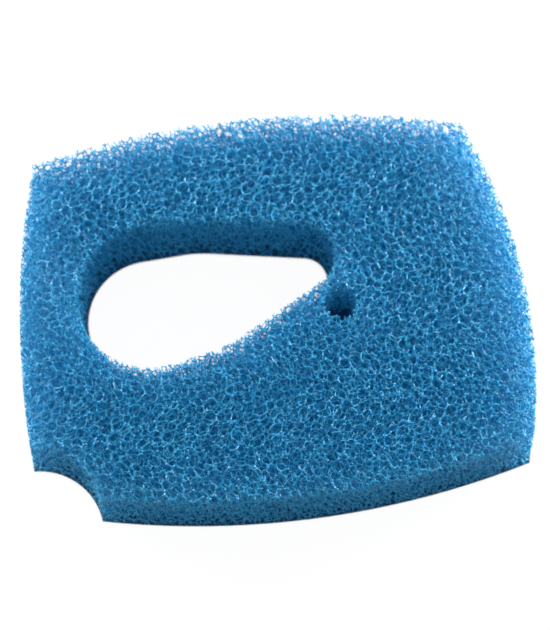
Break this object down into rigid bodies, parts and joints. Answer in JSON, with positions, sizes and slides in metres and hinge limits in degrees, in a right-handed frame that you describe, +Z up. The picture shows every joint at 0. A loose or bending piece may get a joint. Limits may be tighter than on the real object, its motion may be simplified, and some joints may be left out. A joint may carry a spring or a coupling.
{
  "type": "filter sponge",
  "caption": "Flat slab of coarse open-cell filter foam with bowed sides, a flared teardrop cut-out, a small round hole and a quarter-round corner notch.",
  "frame": {"origin": "centre of the slab's bounding rectangle, on its underside", "axes": "+X along the slab's long side, towards the end without the notch; +Y across it, away from the notch; +Z up through the thickness, out of the top face"},
  "size_m": [0.2534, 0.1984, 0.05],
  "materials": {
    "foam": "matt open-cell polyether or polyester polyurethane foam, dyed blue through its whole thickness, openings about 3.5 to 4 mm apart on its faces, thin strands with small shiny highlights"
  },
  "bodies": {
    "root": {"foam_block": "foam"}
  },
  "joints": []
}
